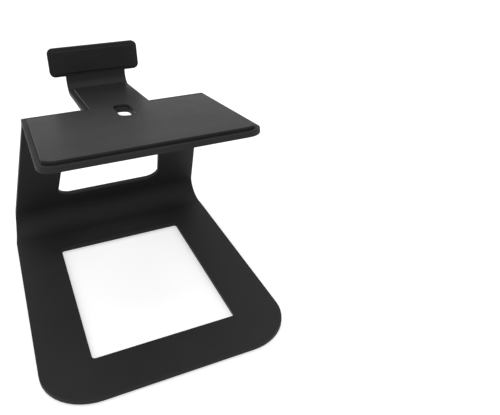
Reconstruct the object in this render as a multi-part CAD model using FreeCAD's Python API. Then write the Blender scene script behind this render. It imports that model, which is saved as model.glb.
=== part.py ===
"""Desk stand bent from one steel sheet, with a tilted platform, a rear rest and rubber pads.

Millimetres, +Z up, the front faces -Y, and the floor is Z = 0. The origin is the middle of
the whole stand's footprint box. Each separate piece goes to its own STEP file in parts/.
"""
import FreeCAD, Part
import math
import os

V = FreeCAD.Vector

# Sheet
SHEET = 4.0

# Base plate
BASE_WIDTH = 190.0
BASE_LENGTH = 222.0
BASE_CORNER_RADIUS = 38.5
CUTOUT_RIM = 38.2
CUTOUT_REAR_LAND = 29.0
CUTOUT_CORNER_RADIUS = 2.5

# Rear bend and leaning panel
REAR_BEND_OUTER_RADIUS = 20.0
PANEL_LEAN_DEG = 55.0
WINDOW_RISE = 17.0
WINDOW_BOTTOM_WIDTH = 101.0
WINDOW_TOP_WIDTH = 76.0
WINDOW_BOTTOM_RADIUS = 12.0
WINDOW_TOP_RADIUS = 7.5

# Platform
PLATFORM_HEIGHT = 158.5
PLATFORM_WIDTH = 147.5
PLATFORM_LENGTH = 123.0
PLATFORM_TILT_DEG = 6.0
PLATFORM_CORNER_RADIUS = 12.0
TOP_BEND_OUTER_RADIUS = 20.0

# Arm and rear rest
ARM_WIDTH = 54.0
ARM_REACH = 86.0
ARM_BEND_INNER_RADIUS = 8.0
ARM_SLIT = 0.8
TAB_CORNER_RADIUS = 2.0
TAB_FLAT = 0.5
REST_WIDTH = 81.0
REST_BOTTOM = 12.2
REST_TOP = 38.5
REST_CORNER_RADIUS = 5.0

# Screw slot
SLOT_WIDTH = 12.0
SLOT_LENGTH = 34.0
SLOT_CENTRE_FORWARD = 24.8
PAD_SLOT_SIDE_CLEARANCE = 0.25
PAD_SLOT_END_CLEARANCE = 1.2

# Pads and their adhesive films
FILM_THICKNESS = 0.3
FILM_INSET = 0.8
PAD_THICKNESS = 2.2
PAD_MARGIN = 3.5
PAD_REAR_LAND = 11.0
PAD_ARM_STOP = 10.0
PAD_EDGE_ROUND = 0.7
PAD_INNER_CORNER_RADIUS = 2.0
REST_PAD_THICKNESS = 2.3
REST_PAD_MARGIN = 3.0

# Feet
FOOT_HEIGHT = 1.5
FOOT_FILM = 0.2
FOOT_DIAMETER = 14.0
FOOT_INSET = 19.0
FRONT_FOOT_CORNER_STEP = 6.0
FOOT_EDGE_ROUND = 0.4

LEAN = math.radians(PANEL_LEAN_DEG)
TILT = math.radians(PLATFORM_TILT_DEG)
SIN_LEAN = math.sin(LEAN)
COS_LEAN = math.cos(LEAN)
SIN_TILT = math.sin(TILT)
COS_TILT = math.cos(TILT)

# The base plate runs from Y = 0 at the front edge to the start of the rear bend, with its
# underside at Z = 0. Everything is moved down to the floor and to the origin at the end.
REAR_CENTRE = V(0.0, BASE_LENGTH, REAR_BEND_OUTER_RADIUS)
PANEL_UP = V(0.0, -COS_LEAN, SIN_LEAN)
PANEL_OUT = V(0.0, SIN_LEAN, COS_LEAN)
PANEL_START = REAR_CENTRE + PANEL_OUT * REAR_BEND_OUTER_RADIUS
PLATE_BACK = V(0.0, COS_TILT, -SIN_TILT)
PLATE_UP = V(0.0, SIN_TILT, COS_TILT)
TOP_CENTRE_Z = PLATFORM_HEIGHT - TOP_BEND_OUTER_RADIUS * COS_TILT
PANEL_LENGTH = (TOP_CENTRE_Z + TOP_BEND_OUTER_RADIUS * COS_LEAN - PANEL_START.z) / SIN_LEAN
PANEL_END = PANEL_START + PANEL_UP * PANEL_LENGTH
TOP_CENTRE = PANEL_END - PANEL_OUT * TOP_BEND_OUTER_RADIUS
PLATE_START = TOP_CENTRE + PLATE_UP * TOP_BEND_OUTER_RADIUS

# The sheet's side edges taper in one straight line of the flat blank, from the start of the
# rear bend to the end of the panel.
REAR_BEND_SWEEP = math.pi - LEAN
REAR_BEND_LENGTH = REAR_BEND_SWEEP * (REAR_BEND_OUTER_RADIUS - SHEET / 2)
HALF_BASE = BASE_WIDTH / 2
HALF_PLATFORM = PLATFORM_WIDTH / 2
TAPER = (HALF_BASE - HALF_PLATFORM) / (REAR_BEND_LENGTH + PANEL_LENGTH)
HALF_PANEL_FOOT = HALF_BASE - TAPER * REAR_BEND_LENGTH

# A tab of the top bend stands between each leg's inner edge and the arm's slit. Its inner corner
# is rounded, and the window's top corner takes what is left of the tab's width.
SLIT_SIDE = ARM_WIDTH / 2 + ARM_SLIT
TAB_WIDTH = WINDOW_TOP_WIDTH / 2 - SLIT_SIDE
TAB_CORNER = min(TAB_CORNER_RADIUS, TAB_WIDTH / 4)
WINDOW_TOP_CORNER = min(WINDOW_TOP_RADIUS, TAB_WIDTH - TAB_CORNER - TAB_FLAT)


def same_direction(edge, direction):
    """Return whether a straight edge runs along a direction."""
    first, last = edge.Vertexes[0].Point, edge.Vertexes[-1].Point
    along = last - first
    return along.Length > 1e-6 and along.cross(direction).Length < 1e-6 * along.Length * direction.Length


def rounded_prism(points, height, radii):
    """Extrude a polygon and round its upright edges.

    Args:
        points: the polygon's corners, in order.
        height: the extrusion vector.
        radii: one radius for each corner, 0 where it stays sharp.

    Returns:
        The solid.
    """
    solid = Part.Face(Part.makePolygon(points + [points[0]])).extrude(height)
    for radius in sorted(set(radii)):
        if radius <= 0:
            continue
        corners = [point for point, value in zip(points, radii) if value == radius]
        upright = [edge for edge in solid.Edges if same_direction(edge, height)]
        chosen = [edge for edge in upright
                  if any(edge.distToShape(Part.Vertex(corner))[0] < 1e-4 for corner in corners)]
        solid = solid.makeFillet(radius, chosen)
    return solid


def bend(centre, start_normal, end_normal, outer_radius, x_low, x_high):
    """Make the part of the sheet that bends round an axis along X.

    Args:
        centre: the bend's axis, in the plane X = 0.
        start_normal: unit vector from the axis to the sheet's outer face at one end.
        end_normal: the same at the other end.
        outer_radius: radius of the outer face.
        x_low: the segment's lower end along X.
        x_high: its upper end.

    Returns:
        The solid.
    """
    inner_radius = outer_radius - SHEET
    middle = start_normal + end_normal
    middle.normalize()
    if start_normal.dot(end_normal) < 0 and middle.y < 0:
        middle = middle * -1
    shift = V(x_low, 0, 0)
    outer = [centre + shift + normal * outer_radius for normal in (start_normal, middle, end_normal)]
    inner = [centre + shift + normal * inner_radius for normal in (start_normal, middle, end_normal)]
    wire = Part.Wire([
        Part.Arc(*outer).toShape(),
        Part.LineSegment(outer[2], inner[2]).toShape(),
        Part.Arc(inner[2], inner[1], inner[0]).toShape(),
        Part.LineSegment(inner[0], outer[0]).toShape(),
    ])
    return Part.Face(wire).extrude(V(x_high - x_low, 0, 0))


def plate_point(x, back, up):
    """Return a point in the platform's own axes: across, towards the rear, and off its top."""
    return PLATE_START + V(x, 0, 0) + PLATE_BACK * back + PLATE_UP * up


def plate_prism(outline, up, thickness, radii):
    """Extrude an outline that lies parallel to the platform."""
    points = [plate_point(x, back, up) for x, back in outline]
    return rounded_prism(points, PLATE_UP * thickness, radii)


def upright_prism(outline, back, thickness, radii):
    """Extrude an outline that lies square to the platform, facing the front."""
    points = [plate_point(x, back, up) for x, up in outline]
    return rounded_prism(points, PLATE_BACK * thickness, radii)


def rectangle(half_width, low, high):
    """Return the corners of a rectangle that is centred across the stand."""
    return [(-half_width, low), (half_width, low), (half_width, high), (-half_width, high)]


def side_trim(side):
    """Make the tool that tapers one side of the rear bend.

    Its inner face follows the straight edge of the flat blank, wrapped round the bend.
    """
    sections = []
    steps = 8
    low_radius = REAR_BEND_OUTER_RADIUS - SHEET - 3.0
    high_radius = REAR_BEND_OUTER_RADIUS + 3.0
    for step in range(-1, steps + 1):
        angle = REAR_BEND_SWEEP * step / steps
        outward = V(0, math.sin(angle), -math.cos(angle))
        edge_x = HALF_BASE - (HALF_BASE - HALF_PANEL_FOOT) * step / steps
        corners = [
            REAR_CENTRE + V(side * edge_x, 0, 0) + outward * low_radius,
            REAR_CENTRE + V(side * edge_x, 0, 0) + outward * high_radius,
            REAR_CENTRE + V(side * (HALF_BASE + 20), 0, 0) + outward * high_radius,
            REAR_CENTRE + V(side * (HALF_BASE + 20), 0, 0) + outward * low_radius,
        ]
        sections.append(Part.makePolygon(corners + [corners[0]]))
    return Part.makeLoft(sections, True, False)


def base_plate():
    """Make the flat base with its rectangular cut-out."""
    up = V(0, 0, SHEET)
    outline = [V(x, y, 0) for x, y in rectangle(HALF_BASE, 0, BASE_LENGTH)]
    plate = rounded_prism(outline, up, [BASE_CORNER_RADIUS, BASE_CORNER_RADIUS, 0, 0])
    hole = rectangle(HALF_BASE - CUTOUT_RIM, CUTOUT_RIM, BASE_LENGTH - CUTOUT_REAR_LAND)
    points = [V(x, y, -1) for x, y in hole]
    return plate.cut(rounded_prism(points, up + V(0, 0, 2), [CUTOUT_CORNER_RADIUS] * 4))


def panel():
    """Make the leaning panel with the window between its two legs."""
    def point(x, along, out):
        return PANEL_START + V(x, 0, 0) + PANEL_UP * along + PANEL_OUT * out

    half_low, half_high = HALF_PANEL_FOOT, HALF_PLATFORM
    blank = [point(-half_low, 0, -SHEET), point(half_low, 0, -SHEET),
             point(half_high, PANEL_LENGTH, -SHEET), point(-half_high, PANEL_LENGTH, -SHEET)]
    solid = rounded_prism(blank, PANEL_OUT * SHEET, [0, 0, 0, 0])
    low, high = WINDOW_BOTTOM_WIDTH / 2, WINDOW_TOP_WIDTH / 2
    corners = [point(-low, WINDOW_RISE, -SHEET - 1), point(low, WINDOW_RISE, -SHEET - 1),
               point(high, PANEL_LENGTH, -SHEET - 1), point(-high, PANEL_LENGTH, -SHEET - 1)]
    radii = [WINDOW_BOTTOM_RADIUS, WINDOW_BOTTOM_RADIUS, WINDOW_TOP_CORNER, WINDOW_TOP_CORNER]
    return solid.cut(rounded_prism(corners, PANEL_OUT * (SHEET + 2), radii))


def top_bends():
    """Make the bend above each leg. The arm takes the middle of the sheet."""
    args = (TOP_CENTRE, PANEL_OUT, PLATE_UP, TOP_BEND_OUTER_RADIUS)
    return [bend(*args, -HALF_PLATFORM, -SLIT_SIDE), bend(*args, SLIT_SIDE, HALF_PLATFORM)]


def round_tabs(solid):
    """Round the corner of each tab beside the arm, where the slit meets the window."""
    corners = [PANEL_END + V(side * SLIT_SIDE, 0, 0) for side in (-1, 1)]
    chosen = [edge for edge in solid.Edges
              if same_direction(edge, PANEL_OUT)
              and any(edge.distToShape(Part.Vertex(corner))[0] < 1e-4 for corner in corners)]
    return solid.makeFillet(TAB_CORNER, chosen)


def slot_tool(width, length, low, height):
    """Make a round-ended slot tool that runs fore and aft through the platform."""
    front = -SLOT_CENTRE_FORWARD - length / 2
    outline = rectangle(width / 2, front, front + length)
    end_radius = width / 2 - 0.01
    return plate_prism(outline, low, height, [end_radius] * 4)


def platform_and_arm():
    """Make the platform, its arm, the bend at the arm's end and the rear rest."""
    outline = rectangle(HALF_PLATFORM, -PLATFORM_LENGTH, 0)
    corner = PLATFORM_CORNER_RADIUS
    plate = plate_prism(outline, -SHEET, SHEET, [corner, corner, 0, 0])
    half_arm = ARM_WIDTH / 2
    inner_radius = ARM_BEND_INNER_RADIUS
    flat_end = ARM_REACH - inner_radius
    arm = plate_prism(rectangle(half_arm, -1, flat_end), -SHEET, SHEET, [0, 0, 0, 0])
    centre = plate_point(0, flat_end, inner_radius)
    arm_bend = bend(centre, PLATE_UP * -1, PLATE_BACK, inner_radius + SHEET, -half_arm, half_arm)
    stem = upright_prism(rectangle(half_arm, inner_radius, REST_BOTTOM + 1), ARM_REACH, SHEET, [0] * 4)
    rest = upright_prism(rectangle(REST_WIDTH / 2, REST_BOTTOM, REST_TOP), ARM_REACH, SHEET,
                         [REST_CORNER_RADIUS] * 4)
    solid = plate.multiFuse([arm, arm_bend, stem, rest])
    return solid.cut(slot_tool(SLOT_WIDTH, SLOT_LENGTH, -SHEET - 1, SHEET + 2))


def frame():
    """Make the bent steel sheet as one solid."""
    rear_bend = bend(REAR_CENTRE, V(0, 0, -1), PANEL_OUT, REAR_BEND_OUTER_RADIUS, -HALF_BASE, HALF_BASE)
    for side in (-1, 1):
        rear_bend = rear_bend.cut(side_trim(side))
    pieces = [rear_bend, panel(), platform_and_arm()] + top_bends()
    return round_tabs(base_plate().multiFuse(pieces).removeSplitter())


def platform_outline(inset):
    """Return the T outline that covers the platform and the arm, inset from the metal's edge."""
    wide = HALF_PLATFORM - inset
    narrow = ARM_WIDTH / 2 - inset
    front = -PLATFORM_LENGTH + inset
    shoulder = -PAD_REAR_LAND - (inset - PAD_MARGIN)
    tail = ARM_REACH - PAD_ARM_STOP - (inset - PAD_MARGIN)
    return [(-wide, front), (wide, front), (wide, shoulder), (narrow, shoulder),
            (narrow, tail), (-narrow, tail), (-narrow, shoulder), (-wide, shoulder)]


def platform_layer(inset, low, thickness):
    """Make one T-shaped layer on the platform, open at the screw slot."""
    front_radius = PLATFORM_CORNER_RADIUS - inset
    small = PAD_INNER_CORNER_RADIUS
    radii = [front_radius, front_radius, small, small, small, small, small, small]
    layer = plate_prism(platform_outline(inset), low, thickness, radii)
    opening = SLOT_WIDTH + 2 * (PAD_SLOT_SIDE_CLEARANCE + inset - PAD_MARGIN)
    length = SLOT_LENGTH + 2 * (PAD_SLOT_END_CLEARANCE + inset - PAD_MARGIN)
    return layer.cut(slot_tool(opening, length, low - 1, thickness + 2))


def round_face_rim(solid, outward, offset_point, radius):
    """Round the outer rim of the face that looks outward through a point."""
    face = next(face for face in solid.Faces
                if face.Surface.TypeId == "Part::GeomPlane"
                and face.normalAt(0, 0).dot(outward) > 0.999
                and abs((face.CenterOfMass - offset_point).dot(outward)) < 1e-3)
    return solid.makeFillet(radius, face.OuterWire.Edges)


def platform_pad():
    """Make the T-shaped rubber pad."""
    low = FILM_THICKNESS
    pad = platform_layer(PAD_MARGIN, low, PAD_THICKNESS)
    return round_face_rim(pad, PLATE_UP, plate_point(0, 0, low + PAD_THICKNESS), PAD_EDGE_ROUND)


def rest_layer(inset, back, thickness):
    """Make one layer on the front of the rear rest."""
    outline = rectangle(REST_WIDTH / 2 - inset, REST_BOTTOM + inset, REST_TOP - inset)
    return upright_prism(outline, back, thickness, [max(REST_CORNER_RADIUS - inset, 1.0)] * 4)


def rest_pad():
    """Make the rubber pad of the rear rest."""
    back = ARM_REACH - FILM_THICKNESS - REST_PAD_THICKNESS
    pad = rest_layer(REST_PAD_MARGIN, back, REST_PAD_THICKNESS)
    return round_face_rim(pad, PLATE_BACK * -1, plate_point(0, back, 0), PAD_EDGE_ROUND)


def foot_centres():
    """Return each foot's name and its place under the base plate."""
    across = HALF_BASE - FOOT_INSET
    rear = BASE_LENGTH - FOOT_INSET
    front_across, front = across - FRONT_FOOT_CORNER_STEP, FOOT_INSET + FRONT_FOOT_CORNER_STEP
    return {
        "foot_front_left": (-front_across, front),
        "foot_front_right": (front_across, front),
        "foot_rear_left": (-across, rear),
        "foot_rear_right": (across, rear),
    }


def foot(x, y):
    """Make one rubber foot, rounded where it meets the floor."""
    height = FOOT_HEIGHT - FOOT_FILM
    disc = Part.makeCylinder(FOOT_DIAMETER / 2, height, V(x, y, -FOOT_HEIGHT))
    rim = [edge for edge in disc.Edges
           if edge.Curve.TypeId == "Part::GeomCircle" and abs(edge.CenterOfMass.z + FOOT_HEIGHT) < 1e-6]
    return disc.makeFillet(FOOT_EDGE_ROUND, rim)


def foot_films():
    """Make the four adhesive discs above the feet."""
    radius = FOOT_DIAMETER / 2 - FILM_INSET
    return Part.makeCompound([Part.makeCylinder(radius, FOOT_FILM, V(x, y, -FOOT_FILM))
                              for x, y in foot_centres().values()])


def build():
    """Return every node's shape by name, in the stand's final place."""
    shapes = {
        "frame": frame(),
        "platform_pad_film": platform_layer(PAD_MARGIN + FILM_INSET, 0, FILM_THICKNESS),
        "platform_pad": platform_pad(),
        "rest_pad_film": rest_layer(REST_PAD_MARGIN + FILM_INSET, ARM_REACH - FILM_THICKNESS, FILM_THICKNESS),
        "rest_pad": rest_pad(),
        "foot_films": foot_films(),
    }
    for name, (x, y) in foot_centres().items():
        shapes[name] = foot(x, y)
    box = shapes["frame"].optimalBoundingBox(False, False)
    move = V(0, -(box.YMin + box.YMax) / 2, FOOT_HEIGHT)
    for shape in shapes.values():
        shape.translate(move)
    return shapes


os.makedirs("parts", exist_ok=True)
for node_name, node_shape in build().items():
    node_shape.exportStep(os.path.join("parts", node_name + ".step"))
    bounds = node_shape.optimalBoundingBox(False, False)
    print(node_name, node_shape.isValid(), len(node_shape.Solids), round(node_shape.Volume, 1),
          [round(value, 2) for value in (bounds.XMin, bounds.XMax, bounds.YMin, bounds.YMax,
                                         bounds.ZMin, bounds.ZMax)])
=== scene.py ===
"""Looks of a black desk stand: one bent steel sheet with rubber pads, films and feet.

The scene is in metres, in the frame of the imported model: the front faces -Y, the floor is
Z = 0, and the origin is the middle of the stand's footprint. The flat blank of the sheet, and
what is drawn on it, is in millimetres.
"""
from __future__ import annotations

import logging
import math
from dataclasses import dataclass
from enum import Enum

import bmesh
import bpy
from mathutils import Euler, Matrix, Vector


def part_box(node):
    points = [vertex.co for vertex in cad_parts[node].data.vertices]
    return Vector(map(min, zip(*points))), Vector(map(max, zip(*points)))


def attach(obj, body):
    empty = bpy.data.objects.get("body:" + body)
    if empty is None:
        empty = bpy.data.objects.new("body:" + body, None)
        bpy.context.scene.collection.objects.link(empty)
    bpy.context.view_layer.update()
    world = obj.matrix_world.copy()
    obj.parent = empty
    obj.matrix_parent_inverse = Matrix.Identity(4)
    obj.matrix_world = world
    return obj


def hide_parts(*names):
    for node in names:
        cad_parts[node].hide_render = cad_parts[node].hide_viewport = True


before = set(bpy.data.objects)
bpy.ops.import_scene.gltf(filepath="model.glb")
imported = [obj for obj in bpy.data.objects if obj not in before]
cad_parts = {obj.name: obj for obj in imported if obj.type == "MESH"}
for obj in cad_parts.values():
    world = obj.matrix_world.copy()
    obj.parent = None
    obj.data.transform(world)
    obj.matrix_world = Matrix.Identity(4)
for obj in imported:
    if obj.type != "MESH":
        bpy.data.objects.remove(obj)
log = logging.getLogger("stand")

Colour = tuple[float, float, float]
Point = tuple[float, float, float]

IMAGE_WIDTH = 500
IMAGE_HEIGHT = 415
BODY = "root"
MILLIMETRE = 0.001
QUARTER_TURN = math.pi / 2

# The largest turn between two points of a rounded corner, and between two cuts across a bend.
ARC_STEP = math.radians(7.5)
BEND_STEP = math.radians(3.2)
LEAST_ARC_PARTS = 2

# In the flat: how near two points count as one, and how near a cut a point counts as on it.
SAME_PLACE = 0.01
ON_THE_CUT = 0.04


class Slot(Enum):
    """The record's material slots."""

    COAT = "powder_coat"
    PAD = "pad_rubber"
    FILM = "adhesive_film"
    FOOT = "foot_rubber"


class Grain(Enum):
    """The kinds of fine relief that a finish can have."""

    ORANGE_PEEL = "orange peel"
    PEBBLE = "pebble"


class Graph:
    """A node tree, with short calls to add nodes and to link them."""

    def __init__(self, tree: bpy.types.NodeTree) -> None:
        """Hold a tree."""
        self.tree = tree

    def add(self, kind: str, **settings: object) -> bpy.types.Node:
        """Add a node and set its properties."""
        node = self.tree.nodes.new(kind)
        for name, value in settings.items():
            setattr(node, name, value)
        return node

    def feed(self, socket: bpy.types.NodeSocket, value: object) -> None:
        """Link a socket to an output, or set it to a plain value."""
        if isinstance(value, bpy.types.NodeSocket):
            self.tree.links.new(value, socket)
        else:
            socket.default_value = value

    def math(self, operation: str, first: object, second: object = 0.0,
             clamp: bool = False) -> bpy.types.NodeSocket:
        """Add a Math node.

        Args:
            operation: the node's operation.
            first: an output or a number.
            second: an output or a number.
            clamp: whether the result is kept from 0 to 1.

        Returns:
            The result's socket.
        """
        node = self.add("ShaderNodeMath", operation=operation, use_clamp=clamp)
        self.feed(node.inputs[0], first)
        self.feed(node.inputs[1], second)
        return node.outputs[0]

    def noise(self, place: object, scale: object, detail: float = 2.0,
              roughness: float = 0.5) -> bpy.types.NodeSocket:
        """Add a Noise texture and return its Factor."""
        node = self.add("ShaderNodeTexNoise")
        self.feed(node.inputs["Vector"], place)
        self.feed(node.inputs["Scale"], scale)
        self.feed(node.inputs["Detail"], detail)
        self.feed(node.inputs["Roughness"], roughness)
        return node.outputs[0]

    def spread(self, value: object, low: float, high: float, new_low: object,
               new_high: object) -> bpy.types.NodeSocket:
        """Map a value from one range to another, kept inside it."""
        node = self.add("ShaderNodeMapRange", clamp=True)
        self.feed(node.inputs["Value"], value)
        self.feed(node.inputs["From Min"], low)
        self.feed(node.inputs["From Max"], high)
        self.feed(node.inputs["To Min"], new_low)
        self.feed(node.inputs["To Max"], new_high)
        return node.outputs["Result"]

    def mix_colour(self, factor: object, first: object, second: object) -> bpy.types.NodeSocket:
        """Mix two colours."""
        node = self.add("ShaderNodeMix", data_type="RGBA")
        self.feed(node.inputs["Factor"], factor)
        self.feed(node.inputs[6], first)
        self.feed(node.inputs[7], second)
        return node.outputs[2]

    def group(self, tree: bpy.types.NodeTree, **values: object) -> bpy.types.Node:
        """Add a group node and feed its inputs, whose names have _ for a space."""
        node = self.add("ShaderNodeGroup", node_tree=tree)
        for name, value in values.items():
            self.feed(node.inputs[name.replace("_", " ")], value)
        return node


def new_group(name: str, inputs: dict[str, tuple[str, object]],
              outputs: dict[str, str]) -> tuple[Graph, bpy.types.Node, bpy.types.Node]:
    """Start a shader node group.

    Args:
        name: the group's name.
        inputs: each input's name, with its socket type and default value.
        outputs: each output's name, with its socket type.

    Returns:
        The graph, its input node and its output node.
    """
    tree = bpy.data.node_groups.new(name, "ShaderNodeTree")
    for label, (kind, default) in inputs.items():
        socket = tree.interface.new_socket(label, in_out="INPUT", socket_type=kind)
        if default is not None:
            socket.default_value = default
    for label, kind in outputs.items():
        tree.interface.new_socket(label, in_out="OUTPUT", socket_type=kind)
    graph = Graph(tree)
    return graph, graph.add("NodeGroupInput"), graph.add("NodeGroupOutput")


@dataclass
class SharedGroups:
    """The shader node groups that the finishes share, with the proportions of each pattern."""

    sand_fineness: float = 4.3
    sand_share: float = 0.35
    cell_softness: float = 0.35
    lump_coarseness: float = 0.35
    lump_share: float = 0.6
    cloud_share: float = 0.7

    def __post_init__(self) -> None:
        """Build each group once."""
        self.relief = {Grain.ORANGE_PEEL: self._orange_peel(), Grain.PEBBLE: self._pebble()}
        self.mottle = self._mottle()

    def _orange_peel(self) -> bpy.types.NodeTree:
        """Soft waves with a finer sand on them, as sprayed powder cures."""
        graph, start, end = new_group(
            "Orange peel",
            {"Vector": ("NodeSocketVector", None), "Scale": ("NodeSocketFloat", 600.0)},
            {"Height": "NodeSocketFloat"})
        place, scale = start.outputs["Vector"], start.outputs["Scale"]
        waves = graph.noise(place, scale, 1.5, 0.45)
        sand = graph.noise(place, graph.math("MULTIPLY", scale, self.sand_fineness), 2.0, 0.6)
        height = graph.math("MULTIPLY_ADD", sand, self.sand_share)
        graph.feed(height.node.inputs[2], waves)
        graph.feed(end.inputs["Height"], height)
        return graph.tree

    def _pebble(self) -> bpy.types.NodeTree:
        """Small rounded cells of uneven size, as moulded rubber sheet has."""
        graph, start, end = new_group(
            "Pebble",
            {"Vector": ("NodeSocketVector", None), "Scale": ("NodeSocketFloat", 900.0)},
            {"Height": "NodeSocketFloat"})
        place, scale = start.outputs["Vector"], start.outputs["Scale"]
        cells = graph.add("ShaderNodeTexVoronoi", feature="SMOOTH_F1")
        graph.feed(cells.inputs["Vector"], place)
        graph.feed(cells.inputs["Scale"], scale)
        cells.inputs["Smoothness"].default_value = self.cell_softness
        domes = graph.spread(cells.outputs["Distance"], 0.05, 0.75, 1.0, 0.0)
        coarse = graph.math("MULTIPLY", scale, self.lump_coarseness)
        lumps = graph.noise(place, coarse, 2.0, 0.55)
        height = graph.math("MULTIPLY_ADD", lumps, self.lump_share)
        graph.feed(height.node.inputs[2], domes)
        graph.feed(end.inputs["Height"], height)
        return graph.tree

    def _mottle(self) -> bpy.types.NodeTree:
        """A colour that drifts slowly over the surface, with fine flecks on it."""
        graph, start, end = new_group(
            "Mottled colour",
            {"Vector": ("NodeSocketVector", None), "Dark": ("NodeSocketColor", (0, 0, 0, 1)),
             "Light": ("NodeSocketColor", (1, 1, 1, 1)), "Cloud Scale": ("NodeSocketFloat", 18.0),
             "Fleck Scale": ("NodeSocketFloat", 2400.0), "Fleck Share": ("NodeSocketFloat", 0.3)},
            {"Colour": "NodeSocketColor", "Clouds": "NodeSocketFloat"})
        place = start.outputs["Vector"]
        clouds = graph.noise(place, start.outputs["Cloud Scale"], 4.0, 0.6)
        clouds = graph.spread(clouds, 0.3, 0.7, 0.0, 1.0)
        flecks = graph.noise(place, start.outputs["Fleck Scale"], 1.0, 0.5)
        flecks = graph.spread(flecks, 0.62, 0.74, 0.0, start.outputs["Fleck Share"])
        share = graph.math("MULTIPLY_ADD", clouds, self.cloud_share, clamp=True)
        graph.feed(share.node.inputs[2], flecks)
        colour = graph.mix_colour(share, start.outputs["Dark"], start.outputs["Light"])
        graph.feed(end.inputs["Colour"], colour)
        graph.feed(end.inputs["Clouds"], clouds)
        return graph.tree


@dataclass(frozen=True)
class Finish:
    """A procedural finish for one of the stand's materials.

    The relief's height is in millimetres, and each scale counts features in a metre. The
    roughness goes from smooth to rough as the clouds and the grain, by their shares, rise
    through the polish range.
    """

    name: str
    dark: Colour
    light: Colour
    grain: Grain
    grain_scale: float
    grain_height: float
    smooth_roughness: float
    rough_roughness: float
    specular: float
    cloud_scale: float = 18.0
    fleck_scale: float = 2400.0
    fleck_share: float = 0.25
    cloud_polish: float = 0.45
    grain_polish: float = 0.5
    polish_range: tuple[float, float] = (0.15, 0.9)

    def build(self, groups: SharedGroups) -> bpy.types.Material:
        """Make the material.

        Args:
            groups: the shared node groups.

        Returns:
            The new material.
        """
        material = bpy.data.materials.new(self.name)
        material.use_nodes = True
        graph = Graph(material.node_tree)
        shader = material.node_tree.nodes["Principled BSDF"]
        place = graph.add("ShaderNodeTexCoord").outputs["Object"]
        mottle = graph.group(groups.mottle, Vector=place, Dark=(*self.dark, 1),
                             Light=(*self.light, 1), Cloud_Scale=self.cloud_scale,
                             Fleck_Scale=self.fleck_scale, Fleck_Share=self.fleck_share)
        relief = graph.group(groups.relief[self.grain], Vector=place, Scale=self.grain_scale)
        height = relief.outputs["Height"]
        polish = graph.math("MULTIPLY_ADD", mottle.outputs["Clouds"], self.cloud_polish)
        graph.feed(polish.node.inputs[2], graph.math("MULTIPLY", height, self.grain_polish))
        roughness = graph.spread(polish, *self.polish_range, self.smooth_roughness,
                                 self.rough_roughness)
        bump = graph.add("ShaderNodeBump")
        bump.inputs["Strength"].default_value = 1.0
        bump.inputs["Distance"].default_value = self.grain_height * MILLIMETRE
        graph.feed(bump.inputs["Height"], height)
        graph.feed(shader.inputs["Base Color"], mottle.outputs["Colour"])
        graph.feed(shader.inputs["Roughness"], roughness)
        graph.feed(shader.inputs["Normal"], bump.outputs["Normal"])
        shader.inputs["Specular IOR Level"].default_value = self.specular
        return material


COAT = Finish("black powder coat", (0.0205, 0.0205, 0.0208), (0.0265, 0.0265, 0.0269),
              Grain.ORANGE_PEEL, 520.0, 0.03, 0.50, 0.64, 0.13)
PAD = Finish("black rubber sheet", (0.0175, 0.0175, 0.0177), (0.0230, 0.0230, 0.0233),
             Grain.PEBBLE, 1500.0, 0.025, 0.29, 0.41, 0.085, cloud_scale=30.0, fleck_share=0.35)
FILM = Finish("adhesive film", (0.035, 0.034, 0.032), (0.055, 0.053, 0.05),
              Grain.ORANGE_PEEL, 900.0, 0.01, 0.3, 0.45, 0.4)
FOOT = Finish("grey-black foot rubber", (0.020, 0.020, 0.021), (0.030, 0.030, 0.031),
              Grain.PEBBLE, 1100.0, 0.04, 0.6, 0.8, 0.3, cloud_scale=60.0)


@dataclass(frozen=True)
class RimPoint:
    """A point of an outline in the flat, and the direction out of the material there."""

    across: float
    along: float
    out_across: float
    out_along: float


def same_place(one: RimPoint, other: RimPoint) -> bool:
    """Say whether two points of an outline are one."""
    return math.hypot(one.across - other.across, one.along - other.along) <= SAME_PLACE


def rounded_outline(corners: list[tuple[float, float, float]]) -> list[RimPoint]:
    """Round the corners of an outline that keeps the material on its left.

    Args:
        corners: each corner's place across and along, and its radius.

    Returns:
        The outline's points, each with its exact direction outwards.
    """
    points = []
    for index, (across, along, radius) in enumerate(corners):
        here = Vector((across, along))
        before = (here - Vector(corners[index - 1][:2])).normalized()
        after = (Vector(corners[(index + 1) % len(corners)][:2]) - here).normalized()
        turn = math.atan2(before.x * after.y - before.y * after.x, before.dot(after))
        side = math.copysign(1.0, turn)
        start = here - before * radius * math.tan(abs(turn) / 2)
        first = Vector((before.y, -before.x))
        centre = start - first * side * radius
        count = max(LEAST_ARC_PARTS, math.ceil(abs(turn) / ARC_STEP))
        for number in range(count + 1):
            angle = turn * number / count
            out = Vector((first.x * math.cos(angle) - first.y * math.sin(angle),
                          first.x * math.sin(angle) + first.y * math.cos(angle)))
            place = centre + out * side * radius
            point = RimPoint(place.x, place.y, out.x, out.y)
            if not points or not same_place(point, points[-1]):
                points.append(point)
    if same_place(points[0], points[-1]):
        points.pop()
    return points


@dataclass(frozen=True)
class RimLevel:
    """One line round a slab's rim: how far in it lies, its height, and how far it leans outwards."""

    inset: float
    height: float
    lean: float


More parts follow.
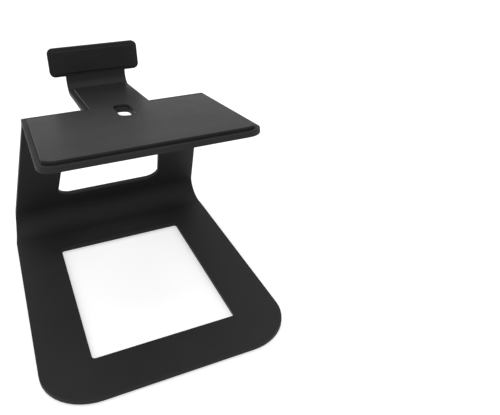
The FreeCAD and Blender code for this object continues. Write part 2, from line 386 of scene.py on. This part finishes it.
def rim_levels(low: float, high: float, low_radius: float, high_radius: float,
               steps: int) -> list[RimLevel]:
    """Return a slab's rim from its upper face down to its lower face, with rounded edges.

    Args:
        low: the lower face's height.
        high: the upper face's height.
        low_radius: the lower edge's radius.
        high_radius: the upper edge's radius.
        steps: the parts that each rounding is divided in.

    Returns:
        The lines round the rim.
    """
    levels = []
    for number in range(steps + 1):
        lean = QUARTER_TURN * (1 - number / steps)
        inset = high_radius * (1 - math.cos(lean))
        drop = high_radius * (1 - math.sin(lean))
        levels.append(RimLevel(inset, high - drop, lean))
    for number in range(steps + 1):
        lean = -QUARTER_TURN * number / steps
        inset = low_radius * (1 - math.cos(lean))
        rise = low_radius * (1 + math.sin(lean))
        levels.append(RimLevel(inset, low + rise, lean))
    return levels


@dataclass(frozen=True)
class Fold:
    """Where a point of the flat lies on the folded sheet: its place and its two directions."""

    place: Vector
    onward: Vector
    outward: Vector


@dataclass(frozen=True)
class SheetPlan:
    """The sheet's sizes in millimetres, and how its flat blank folds into the stand.

    Along is counted on the middle of the sheet from the platform's rear edge: less than 0 on the
    platform, more on the legs and on the arm. Height is counted from the sheet's outer face,
    which is the platform's top.
    """

    thickness: float = 4.0
    base_width: float = 190.0
    base_length: float = 222.0
    base_corner: float = 38.5
    cutout_rim: float = 38.2
    cutout_rear_land: float = 29.0
    cutout_corner: float = 2.5
    bend_radius: float = 20.0
    lean: float = math.radians(55.0)
    window_rise: float = 17.0
    window_low_half: float = 50.5
    window_high_half: float = 38.0
    window_low_corner: float = 12.0
    window_high_corner: float = 7.5
    platform_height: float = 158.5
    platform_width: float = 147.5
    platform_length: float = 123.0
    platform_corner: float = 12.0
    tilt: float = math.radians(6.0)
    arm_half: float = 27.0
    arm_reach: float = 86.0
    arm_bend_radius: float = 8.0
    slit: float = 0.8
    slit_corner: float = 0.3
    tab_corner: float = 2.0
    rest_half: float = 40.5
    rest_low: float = 12.2
    rest_high: float = 38.5
    rest_corner: float = 5.0
    rest_neck: float = 0.5
    slot_half: float = 6.0
    slot_length: float = 34.0
    slot_forward: float = 24.8
    taper_kink: float = 3.0
    foot_height: float = 1.5
    front_edge: float = -121.0
    end_allowance: float = 1.0
    side_allowance: float = 2.0

    @property
    def middle_radius(self) -> float:
        """Radius of a main bend at the middle of the sheet."""
        return self.bend_radius - self.thickness / 2

    @property
    def top_bend(self) -> float:
        """Length of the top bend."""
        return (self.lean - self.tilt) * self.middle_radius

    @property
    def rear_bend(self) -> float:
        """Length of the rear bend."""
        return (math.pi - self.lean) * self.middle_radius

    @property
    def rear_centre(self) -> Vector:
        """The rear bend's axis."""
        return Vector((0.0, self.front_edge + self.base_length, self.foot_height + self.bend_radius))

    @property
    def panel(self) -> float:
        """Length of the leaning panel."""
        rise = self.platform_height + self.foot_height - self.bend_radius * math.cos(self.tilt)
        return (rise - self.rear_centre.z) / math.sin(self.lean)

    @property
    def top_centre(self) -> Vector:
        """The top bend's axis."""
        return self.rear_centre - self.onward(self.lean) * self.panel

    @property
    def panel_end(self) -> float:
        """Where the panel meets the rear bend, along the flat."""
        return self.top_bend + self.panel

    @property
    def base_start(self) -> float:
        """Where the rear bend meets the base, along the flat."""
        return self.panel_end + self.rear_bend

    @property
    def arm_flat(self) -> float:
        """Where the arm starts to bend up, along the flat."""
        return self.arm_reach - self.arm_bend_radius

    @property
    def arm_bend(self) -> float:
        """Length of the arm's bend."""
        return QUARTER_TURN * (self.arm_bend_radius + self.thickness / 2)

    @staticmethod
    def outward(angle: float) -> Vector:
        """Direction out of the outer face where it has turned by an angle from level."""
        return Vector((0.0, math.sin(angle), math.cos(angle)))

    @staticmethod
    def onward(angle: float) -> Vector:
        """Direction along the sheet where it has turned by an angle from level."""
        return Vector((0.0, math.cos(angle), -math.sin(angle)))

    def rest_along(self, rise: float) -> float:
        """Return how far along the flat a height above the platform's plane is, on the rest."""
        return self.arm_flat + self.arm_bend + rise - self.arm_bend_radius

    def on_arm(self, across: float, along: float) -> bool:
        """Say whether a point of the flat belongs to the arm or the rest."""
        if along <= 0 or along > self.rest_along(self.rest_high) + self.end_allowance:
            return False
        if along > self.rest_along(self.rest_low) - self.end_allowance:
            return abs(across) < self.rest_half + self.side_allowance
        return abs(across) < self.arm_half + self.slit / 2

    def fold(self, across: float, along: float, height: float) -> Fold:
        """Fold one point of the flat.

        Args:
            across: its place across the stand.
            along: its place along the flat.
            height: its height off the outer face.

        Returns:
            Its place, and the directions along and out of the sheet there.
        """
        start = self.top_centre + self.outward(self.tilt) * self.bend_radius
        level, up = self.onward(self.tilt), self.outward(self.tilt)
        if self.on_arm(across, along) and along > self.arm_flat:
            corner = start + level * self.arm_flat + up * self.arm_bend_radius
            turned = min((along - self.arm_flat) / self.arm_bend, 1.0) * QUARTER_TURN
            out = up * math.cos(turned) - level * math.sin(turned)
            onward = level * math.cos(turned) + up * math.sin(turned)
            beyond = max(along - self.arm_flat - self.arm_bend, 0.0)
            place = corner - out * (self.arm_bend_radius - height) + onward * beyond
        elif self.on_arm(across, along) or along <= 0:
            out, onward = up, level
            place = start + level * along + up * height
        elif along <= self.top_bend:
            angle = self.tilt + along / self.middle_radius
            out, onward = self.outward(angle), self.onward(angle)
            place = self.top_centre + out * (self.bend_radius + height)
        elif along <= self.panel_end:
            out, onward = self.outward(self.lean), self.onward(self.lean)
            beyond = along - self.top_bend
            place = self.top_centre + out * (self.bend_radius + height) + onward * beyond
        else:
            angle = min(self.lean + (along - self.panel_end) / self.middle_radius, math.pi)
            out, onward = self.outward(angle), self.onward(angle)
            beyond = max(along - self.base_start, 0.0)
            place = self.rear_centre + out * (self.bend_radius + height) + onward * beyond
        return Fold(Vector((across, place.y, place.z)), onward, out)

    def outlines(self) -> list[list[RimPoint]]:
        """Return the blank's outer outline and its three holes, each with the metal on its left."""
        side, wide = self.platform_width / 2, self.base_width / 2
        end = self.base_start + self.base_length
        outer = [(-side, -self.platform_length, self.platform_corner),
                 (side, -self.platform_length, self.platform_corner),
                 (side, self.top_bend, self.taper_kink), (wide, self.base_start, self.taper_kink),
                 (wide, end, self.base_corner), (-wide, end, self.base_corner),
                 (-wide, self.base_start, self.taper_kink), (-side, self.top_bend, self.taper_kink)]
        tab, gap = self.arm_half + self.slit, self.slit_corner
        low, high = self.rest_along(self.rest_low), self.rest_along(self.rest_high)
        sill = self.panel_end - self.window_rise
        half = [(self.window_low_half, sill, self.window_low_corner),
                (self.window_high_half, self.top_bend, self.window_high_corner),
                (tab, self.top_bend, self.tab_corner), (tab, 0.0, gap), (self.arm_half, 0.0, gap),
                (self.arm_half, low, self.rest_neck), (self.rest_half, low, self.rest_corner),
                (self.rest_half, high, self.rest_corner)]
        window = half + [(-across, along, radius) for across, along, radius in reversed(half)]
        hole = wide - self.cutout_rim
        rear, front = self.base_start + self.cutout_rear_land, end - self.cutout_rim
        cutout = [(-hole, rear), (-hole, front), (hole, front), (hole, rear)]
        cutout = [(*corner, self.cutout_corner) for corner in cutout]
        return [rounded_outline(outer), rounded_outline(window), rounded_outline(cutout),
                self.slot(0.0, 0.0)]

    def slot(self, side_clearance: float, end_clearance: float) -> list[RimPoint]:
        """Return the round-ended screw slot, with a clearance at its sides and its ends."""
        half = self.slot_half + side_clearance
        reach = self.slot_length / 2 + end_clearance
        corners = [(-half, -reach), (-half, reach), (half, reach), (half, -reach)]
        forward = self.slot_forward
        return rounded_outline([(across, along - forward, half) for across, along in corners])

    def cuts(self) -> list[float]:
        """Return the places along the flat where the bends are divided."""
        spans = [(0.0, self.top_bend, self.lean - self.tilt),
                 (self.panel_end, self.base_start, math.pi - self.lean),
                 (self.arm_flat, self.arm_flat + self.arm_bend, QUARTER_TURN)]
        places = []
        for start, stop, turn in spans:
            count = math.ceil(turn / BEND_STEP)
            places += [start + (stop - start) * number / count for number in range(count + 1)]
        return places


def add_rim(mesh: bmesh.types.BMesh, flat_normal: bmesh.types.BMLayerItem, outline: list[RimPoint],
            levels: list[RimLevel]) -> tuple[list[bmesh.types.BMEdge], list[bmesh.types.BMEdge]]:
    """Add the rim of one outline to a slab that is still flat.

    Args:
        mesh: the slab's mesh.
        flat_normal: the layer that keeps each point's exact normal in the flat.
        outline: the outline's points.
        levels: the rim, from the upper face down.

    Returns:
        The edges round the upper face, and those round the lower face.
    """
    rings = []
    for level in levels:
        lean_out, lean_up = math.cos(level.lean), math.sin(level.lean)
        ring = []
        for point in outline:
            corner = mesh.verts.new((point.across - point.out_across * level.inset,
                                     point.along - point.out_along * level.inset, level.height))
            corner[flat_normal] = (point.out_across * lean_out, point.out_along * lean_out, lean_up)
            ring.append(corner)
        rings.append(ring)
    sides = [(index, (index + 1) % len(outline)) for index in range(len(outline))]
    for upper, lower in zip(rings, rings[1:]):
        for here, after in sides:
            mesh.faces.new((upper[here], lower[here], lower[after], upper[after]))
    top = [mesh.edges.get((rings[0][here], rings[0][after])) for here, after in sides]
    bottom = [mesh.edges.get((rings[-1][here], rings[-1][after])) for here, after in sides]
    return top, bottom


def folded_slab(outlines: list[list[RimPoint]], levels: list[RimLevel], plan: SheetPlan,
                cuts: list[float], name: str) -> bpy.types.Object:
    """Make a closed slab in the flat, divide it at its bends, and fold it.

    Args:
        outlines: the outer outline and the holes, each with the material on its left.
        levels: the rim, from the upper face down.
        plan: what folds each point.
        cuts: where the flat is divided, along it.
        name: the new object's name.

    Returns:
        The object, in metres, with exact normals.
    """
    mesh = bmesh.new()
    flat_normal = mesh.verts.layers.float_vector.new("flat_normal")
    rims = [add_rim(mesh, flat_normal, outline, levels) for outline in outlines]
    for face in range(2):
        edges = [edge for rim in rims for edge in rim[face]]
        bmesh.ops.triangle_fill(mesh, use_beauty=True, edges=edges)
    for cut in cuts:
        whole = mesh.verts[:] + mesh.edges[:] + mesh.faces[:]
        bmesh.ops.bisect_plane(mesh, geom=whole, dist=ON_THE_CUT,
                               plane_co=(0.0, cut, 0.0), plane_no=(0.0, 1.0, 0.0))
    bmesh.ops.recalc_face_normals(mesh, faces=mesh.faces)
    normals = []
    for corner in mesh.verts:
        across, along, up = corner[flat_normal]
        spot = plan.fold(*corner.co)
        normal = Vector((across, 0.0, 0.0)) + spot.onward * along + spot.outward * up
        normals.append(normal.normalized())
        corner.co = spot.place * MILLIMETRE
    if mesh.calc_volume(signed=True) < 0:
        bmesh.ops.reverse_faces(mesh, faces=mesh.faces)
    mesh.verts.layers.float_vector.remove(flat_normal)
    piece = piece_from(mesh, name)
    piece.data.normals_split_custom_set_from_vertices(normals)
    return piece


def piece_from(mesh: bmesh.types.BMesh, name: str) -> bpy.types.Object:
    """Turn a mesh into a smooth-shaded object at the origin."""
    data = bpy.data.meshes.new(name)
    mesh.to_mesh(data)
    mesh.free()
    data.shade_smooth()
    piece = bpy.data.objects.new(name, data)
    bpy.context.scene.collection.objects.link(piece)
    return piece


def make_plain(piece: bpy.types.Object) -> None:
    """Apply a piece's modifiers, so that only a plain mesh is left."""
    evaluated = piece.evaluated_get(bpy.context.evaluated_depsgraph_get())
    plain = bpy.data.meshes.new_from_object(evaluated)
    piece.modifiers.clear()
    piece.data = plain


def settle(piece: bpy.types.Object, slot: Slot, *nodes: str) -> None:
    """Let a piece ride on the stand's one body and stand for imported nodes."""
    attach(piece, BODY)
    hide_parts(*nodes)
    log.info("%s: %d faces, for %s", piece.name, len(piece.data.polygons), ", ".join(nodes))


@dataclass(frozen=True)
class BentSheet:
    """The steel sheet that is base, bends, panel, platform, arm and rest in one.

    The edge's radius is in millimetres.
    """

    plan: SheetPlan
    node: str = "frame"
    edge_radius: float = 0.55
    edge_steps: int = 4

    def build(self, finish: bpy.types.Material) -> None:
        """Make the sheet with its coated edges rounded.

        Args:
            finish: the coat.
        """
        plan, radius = self.plan, self.edge_radius
        levels = rim_levels(-plan.thickness, 0.0, radius, radius, self.edge_steps)
        piece = folded_slab(plan.outlines(), levels, plan, plan.cuts(), "bent_sheet")
        piece.data.materials.append(finish)
        settle(piece, Slot.COAT, self.node)


@dataclass(frozen=True)
class RubberPads:
    """The two rubber pads that are glued to the sheet, with rounded rims.

    The sizes are in millimetres. Each pad stands off the sheet by its film.
    """

    plan: SheetPlan
    film: float = 0.3
    margin: float = 3.5
    rear_land: float = 11.0
    arm_stop: float = 10.0
    inner_corner: float = 2.0
    thickness: float = 2.2
    slot_side: float = 0.25
    slot_end: float = 1.2
    rest_margin: float = 3.0
    rest_thickness: float = 2.3
    rim_radius: float = 0.7
    foot_radius: float = 0.12
    rim_steps: int = 5

    def build(self, finish: bpy.types.Material) -> None:
        """Make both pads with one finish."""
        self._platform_pad(finish)
        self._rest_pad(finish)

    def _levels(self, thickness: float) -> list[RimLevel]:
        """Return the rim of a pad of some thickness on its film."""
        return rim_levels(self.film, self.film + thickness, self.foot_radius, self.rim_radius,
                          self.rim_steps)

    def _platform_pad(self, finish: bpy.types.Material) -> None:
        """Make the T-shaped pad, open at the slot."""
        plan = self.plan
        wide, narrow = plan.platform_width / 2 - self.margin, plan.arm_half - self.margin
        front, shoulder = self.margin - plan.platform_length, -self.rear_land
        tail = plan.arm_reach - self.arm_stop
        corner, small = plan.platform_corner - self.margin, self.inner_corner
        outline = [(-wide, front, corner), (wide, front, corner), (wide, shoulder, small),
                   (narrow, shoulder, small), (narrow, tail, small), (-narrow, tail, small),
                   (-narrow, shoulder, small), (-wide, shoulder, small)]
        loops = [rounded_outline(outline), plan.slot(self.slot_side, self.slot_end)]
        piece = folded_slab(loops, self._levels(self.thickness), plan, [], "platform_mat")
        piece.data.materials.append(finish)
        settle(piece, Slot.PAD, "platform_pad")

    def _rest_pad(self, finish: bpy.types.Material) -> None:
        """Make the pad on the front of the rest."""
        plan = self.plan
        half = plan.rest_half - self.rest_margin
        low = plan.rest_along(plan.rest_low + self.rest_margin)
        high = plan.rest_along(plan.rest_high - self.rest_margin)
        corner = plan.rest_corner - self.rest_margin
        outline = [(-half, low, corner), (half, low, corner),
                   (half, high, corner), (-half, high, corner)]
        loops = [rounded_outline(outline)]
        piece = folded_slab(loops, self._levels(self.rest_thickness), plan, [], "rest_mat")
        piece.data.materials.append(finish)
        settle(piece, Slot.PAD, "rest_pad")


@dataclass(frozen=True)
class AdhesiveFilms:
    """The films between the rubber and the steel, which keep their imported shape."""

    nodes: tuple[str, ...] = ("platform_pad_film", "rest_pad_film", "foot_films")

    def dress(self, finish: bpy.types.Material) -> None:
        """Give the films their finish."""
        for node in self.nodes:
            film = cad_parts[node]
            film.data.materials.clear()
            film.data.materials.append(finish)
            log.info("%s: dressed", node)


@dataclass(frozen=True)
class RubberFeet:
    """Four round rubber feet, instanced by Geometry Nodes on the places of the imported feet.

    The dish is a shallow hollow in the middle of each foot. Its depth is in metres, and its
    inner and outer radius are shares of the foot's own.
    """

    nodes: tuple[str, ...] = ("foot_front_left", "foot_front_right",
                              "foot_rear_left", "foot_rear_right")
    fullness: float = 7.0
    dish_depth: float = 0.18 * MILLIMETRE
    dish_inner: float = 0.30
    dish_outer: float = 0.46
    near_nothing: float = 1e-6
    under_side: float = -1e-4
    segments: int = 64
    rings: int = 48

    def build(self, finish: bpy.types.Material) -> None:
        """Make the feet as one plain mesh.

        Args:
            finish: the rubber.
        """
        boxes = [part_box(node) for node in self.nodes]
        low, high = boxes[0]
        radius = (high[0] - low[0]) / 2
        height = high[2] - low[2]
        mesh = bmesh.new()
        for low, high in boxes:
            mesh.verts.new(((low[0] + high[0]) / 2, (low[1] + high[1]) / 2, high[2]))
        piece = piece_from(mesh, "rubber_feet")
        tree = self._tree()
        modifier = piece.modifiers.new("feet", "NODES")
        modifier.node_group = tree
        values = {"Radius": radius, "Height": height, "Dish": self.dish_depth,
                  "Material": finish}
        for item in tree.interface.items_tree:
            if item.item_type == "SOCKET" and item.in_out == "INPUT" and item.name in values:
                modifier[item.identifier] = values[item.name]
        make_plain(piece)
        piece.data.shade_smooth()
        settle(piece, Slot.FOOT, *self.nodes)

    def _tree(self) -> bpy.types.NodeTree:
        """Build the node tree: a sphere drawn out to a full, flat-topped foot on each point."""
        tree = bpy.data.node_groups.new("Feet on points", "GeometryNodeTree")
        sockets = {"Geometry": "NodeSocketGeometry", "Radius": "NodeSocketFloat",
                   "Height": "NodeSocketFloat", "Dish": "NodeSocketFloat",
                   "Material": "NodeSocketMaterial"}
        for label, kind in sockets.items():
            tree.interface.new_socket(label, in_out="INPUT", socket_type=kind)
        tree.interface.new_socket("Geometry", in_out="OUTPUT", socket_type="NodeSocketGeometry")
        graph = Graph(tree)
        start, end = graph.add("NodeGroupInput"), graph.add("NodeGroupOutput")
        ball = graph.add("GeometryNodeMeshUVSphere")
        ball.inputs["Segments"].default_value = self.segments
        ball.inputs["Rings"].default_value = self.rings
        ball.inputs["Radius"].default_value = 1.0
        place = graph.add("ShaderNodeSeparateXYZ")
        graph.feed(place.inputs[0], graph.add("GeometryNodeInputPosition").outputs[0])
        across, along, up = place.outputs
        power = 2.0 / self.fullness
        out = graph.math("SQRT", graph.math("ADD", graph.math("MULTIPLY", across, across),
                                            graph.math("MULTIPLY", along, along)))
        safe = graph.math("MAXIMUM", out, self.near_nothing)
        fuller = graph.math("POWER", out, power)
        ratio = graph.math("MULTIPLY", graph.math("DIVIDE", fuller, safe), start.outputs["Radius"])
        under = graph.math("ABSOLUTE", graph.math("MINIMUM", up, 0.0))
        depth = graph.math("POWER", under, power)
        dish = graph.spread(fuller, self.dish_inner, self.dish_outer, start.outputs["Dish"], 0.0)
        drop = graph.math("MULTIPLY", depth, start.outputs["Height"])
        low = graph.math("MULTIPLY", graph.math("SUBTRACT", drop, dish), -1.0)
        level = graph.math("MULTIPLY", low, graph.math("LESS_THAN", up, self.under_side))
        joined = graph.add("ShaderNodeCombineXYZ")
        graph.feed(joined.inputs[0], graph.math("MULTIPLY", across, ratio))
        graph.feed(joined.inputs[1], graph.math("MULTIPLY", along, ratio))
        graph.feed(joined.inputs[2], level)
        shaped = graph.add("GeometryNodeSetPosition")
        graph.feed(shaped.inputs["Geometry"], ball.outputs["Mesh"])
        graph.feed(shaped.inputs["Position"], joined.outputs[0])
        spots = graph.add("GeometryNodeInstanceOnPoints")
        graph.feed(spots.inputs["Points"], start.outputs["Geometry"])
        graph.feed(spots.inputs["Instance"], shaped.outputs["Geometry"])
        real = graph.add("GeometryNodeRealizeInstances")
        graph.feed(real.inputs[0], spots.outputs[0])
        coat = graph.add("GeometryNodeSetMaterial")
        graph.feed(coat.inputs["Geometry"], real.outputs[0])
        graph.feed(coat.inputs["Material"], start.outputs["Material"])
        graph.feed(end.inputs[0], coat.outputs[0])
        return tree


@dataclass(frozen=True)
class PhotoCamera:
    """The camera, at the photograph's place and angles, which are in radians.

    The centre is the pixel of the photograph that the lens points at.
    """

    place: Point = (-0.085997, -0.425028, 0.323363)
    azimuth: float = -0.42959
    elevation: float = 0.42526
    roll: float = -0.00148
    focal_pixels: float = 578.97
    centre: tuple[float, float] = (249.95, 145.98)
    sensor: float = 36.0
    near: float = 0.01
    far: float = 100.0

    def build(self) -> None:
        """Make the camera the scene's own."""
        data = bpy.data.cameras.new("camera")
        data.sensor_width = self.sensor
        data.lens = self.focal_pixels * self.sensor / IMAGE_WIDTH
        data.shift_x = (IMAGE_WIDTH / 2 - self.centre[0]) / IMAGE_WIDTH
        data.shift_y = (self.centre[1] - IMAGE_HEIGHT / 2) / IMAGE_WIDTH
        data.clip_start = self.near
        data.clip_end = self.far
        camera = bpy.data.objects.new("camera", data)
        tilt = Euler((QUARTER_TURN - self.elevation, 0.0, self.azimuth)).to_matrix()
        turn = Euler((0.0, 0.0, self.roll)).to_matrix()
        camera.matrix_world = (tilt @ turn).to_4x4()
        camera.location = self.place
        bpy.context.scene.collection.objects.link(camera)
        bpy.context.scene.camera = camera


@dataclass(frozen=True)
class Studio:
    """A white floor under an even white sky, with two large soft lamps."""

    floor_size: float = 12.0
    floor_grey: float = 0.65
    floor_lift: float = 0.55
    sky: float = 0.75
    key_place: Point = (-0.9, -1.1, 1.6)
    top_place: Point = (0.0, -0.1, 1.9)
    lamp_target: Point = (0.0, 0.0, 0.08)
    lamp_size: float = 1.6
    lamp_power: float = 9.0

    def build(self) -> None:
        """Make the floor, the world and the lamps."""
        bpy.context.scene.view_settings.view_transform = "Standard"
        self._floor()
        self._world()
        self._lamp("key lamp", self.key_place)
        self._lamp("top lamp", self.top_place)

    def _seen(self, graph: Graph) -> bpy.types.NodeSocket:
        """Return 1 for camera, glossy and transmission rays, else 0."""
        path = graph.add("ShaderNodeLightPath")
        seen = graph.math("ADD", path.outputs["Is Camera Ray"], path.outputs["Is Glossy Ray"])
        return graph.math("ADD", seen, path.outputs["Is Transmission Ray"], clamp=True)

    def _floor(self) -> None:
        """Make a white floor that keeps the stand's shadow."""
        half = self.floor_size / 2
        mesh = bmesh.new()
        signs = ((-1, -1), (1, -1), (1, 1), (-1, 1))
        mesh.faces.new([mesh.verts.new((x * half, y * half, 0.0)) for x, y in signs])
        floor = piece_from(mesh, "floor")
        material = bpy.data.materials.new("white floor")
        material.use_nodes = True
        graph = Graph(material.node_tree)
        material.node_tree.nodes.remove(material.node_tree.nodes["Principled BSDF"])
        matt = graph.add("ShaderNodeBsdfDiffuse")
        matt.inputs["Color"].default_value = (self.floor_grey,) * 3 + (1.0,)
        glow = graph.add("ShaderNodeEmission")
        graph.feed(glow.inputs["Strength"], graph.math("MULTIPLY", self._seen(graph), self.floor_lift))
        both = graph.add("ShaderNodeAddShader")
        graph.feed(both.inputs[0], matt.outputs[0])
        graph.feed(both.inputs[1], glow.outputs[0])
        graph.feed(material.node_tree.nodes["Material Output"].inputs["Surface"], both.outputs[0])
        floor.data.materials.append(material)

    def _world(self) -> None:
        """Make the even sky, which is plain white to the camera."""
        world = bpy.data.worlds.new("sky")
        bpy.context.scene.world = world
        world.use_nodes = True
        graph = Graph(world.node_tree)
        background = world.node_tree.nodes["Background"]
        background.inputs["Color"].default_value = (1.0, 1.0, 1.0, 1.0)
        path = graph.add("ShaderNodeLightPath")
        strength = graph.spread(path.outputs["Is Camera Ray"], 0.0, 1.0, self.sky, 1.0)
        graph.feed(background.inputs["Strength"], strength)

    def _lamp(self, name: str, place: Point) -> None:
        """Add a square lamp that points at the stand."""
        data = bpy.data.lights.new(name, "AREA")
        data.shape = "SQUARE"
        data.size = self.lamp_size
        data.energy = self.lamp_power
        lamp = bpy.data.objects.new(name, data)
        lamp.location = place
        aim = Vector(self.lamp_target) - Vector(place)
        lamp.rotation_euler = aim.to_track_quat("-Z", "Y").to_euler()
        bpy.context.scene.collection.objects.link(lamp)


def main() -> None:
    """Build the camera, the studio and every piece."""
    logging.basicConfig(level=logging.INFO, format="%(name)s: %(message)s")
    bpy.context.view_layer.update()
    PhotoCamera().build()
    Studio().build()
    groups = SharedGroups()
    plan = SheetPlan()
    BentSheet(plan).build(COAT.build(groups))
    RubberPads(plan).build(PAD.build(groups))
    AdhesiveFilms().dress(FILM.build(groups))
    RubberFeet().build(FOOT.build(groups))


if __name__ == "__main__":
    main()
